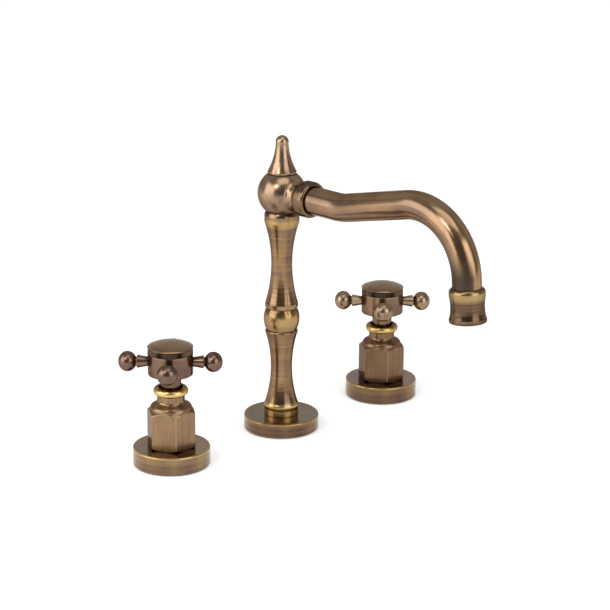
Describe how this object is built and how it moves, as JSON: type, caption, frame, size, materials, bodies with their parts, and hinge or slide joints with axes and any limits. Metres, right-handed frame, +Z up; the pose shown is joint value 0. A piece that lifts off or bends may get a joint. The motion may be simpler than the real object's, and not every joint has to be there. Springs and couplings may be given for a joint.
{
  "type": "widespread basin mixer faucet",
  "caption": "Deck-mounted basin mixer with a hexagonal hot and cold valve under cross handles and a turned pillar that carries a swivelling downturned spout, in antique brass.",
  "frame": {"origin": "centre of the spout pillar's footprint on the deck's top", "axes": "+X from the hot valve to the cold valve, -Y the way the spout points at rest, +Z up out of the deck"},
  "size_m": [0.2564, 0.2086, 0.2913],
  "materials": {
    "antique_brass": "antique brass, brushed and lacquered",
    "handle_bronze": "antique brass, darker brown tone",
    "raw_brass": "plain machined brass",
    "steel": "stainless steel",
    "rubber": "black rubber",
    "ceramic": null,
    "plastic": "black acetal",
    "white_plastic": "white acetal"
  },
  "bodies": {
    "base": {"hot_flange": "antique_brass", "hot_gasket": "rubber", "hot_shroud": "antique_brass", "hot_valve_body": "raw_brass", "hot_lock_nut": "raw_brass", "hot_deck_washer": "steel", "hot_cartridge": "raw_brass", "hot_fixed_disc": "ceramic", "hot_seat_seal": "rubber", "cold_flange": "antique_brass", "cold_gasket": "rubber", "cold_shroud": "antique_brass", "cold_valve_body": "raw_brass", "cold_lock_nut": "raw_brass", "cold_deck_washer": "steel", "cold_cartridge": "raw_brass", "cold_fixed_disc": "ceramic", "cold_seat_seal": "rubber", "spout_flange": "antique_brass", "spout_gasket": "rubber", "spout_shank": "raw_brass", "spout_lock_nut": "raw_brass", "spout_deck_washer": "steel", "spout_tee": "raw_brass", "spout_riser": "raw_brass", "column_lower": "antique_brass", "column_bead": "antique_brass", "column_upper": "antique_brass", "slip_ring": "plastic"},
    "hot_handle": {"hot_spindle": "raw_brass", "hot_turning_disc": "ceramic", "hot_handle_hub": "handle_bronze", "hot_handle_cap": "handle_bronze", "hot_handle_screw": "steel", "hot_arm_1": "handle_bronze", "hot_arm_2": "handle_bronze", "hot_arm_3": "handle_bronze", "hot_arm_4": "handle_bronze"},
    "cold_handle": {"cold_spindle": "raw_brass", "cold_turning_disc": "ceramic", "cold_handle_hub": "handle_bronze", "cold_handle_cap": "handle_bronze", "cold_handle_screw": "steel", "cold_arm_1": "handle_bronze", "cold_arm_2": "handle_bronze", "cold_arm_3": "handle_bronze", "cold_arm_4": "handle_bronze"},
    "spout_arm": {"swivel_spigot": "raw_brass", "spigot_orings": "rubber", "spigot_clip": "steel", "spout_head": "antique_brass", "finial": "antique_brass", "spout_collar": "antique_brass", "union_washer": "rubber", "spout_tube": "antique_brass", "nozzle": "antique_brass", "aerator_washer": "rubber", "aerator_insert": "white_plastic"}
  },
  "joints": [
    {"name": "hot_turn", "type": "hinge", "parent": "base", "child": "hot_handle", "pos_m": [-0.1016, 0, 0.05], "axis": [0, 0, 1], "range_deg": [0, 90]},
    {"name": "cold_turn", "type": "hinge", "parent": "base", "child": "cold_handle", "pos_m": [0.1016, 0, 0.05], "axis": [0, 0, 1], "range_deg": [-90, 0]},
    {"name": "spout_swivel", "type": "hinge", "parent": "base", "child": "spout_arm", "pos_m": [0, 0, 0.15], "axis": [0, 0, 1], "continuous": true}
  ]
}
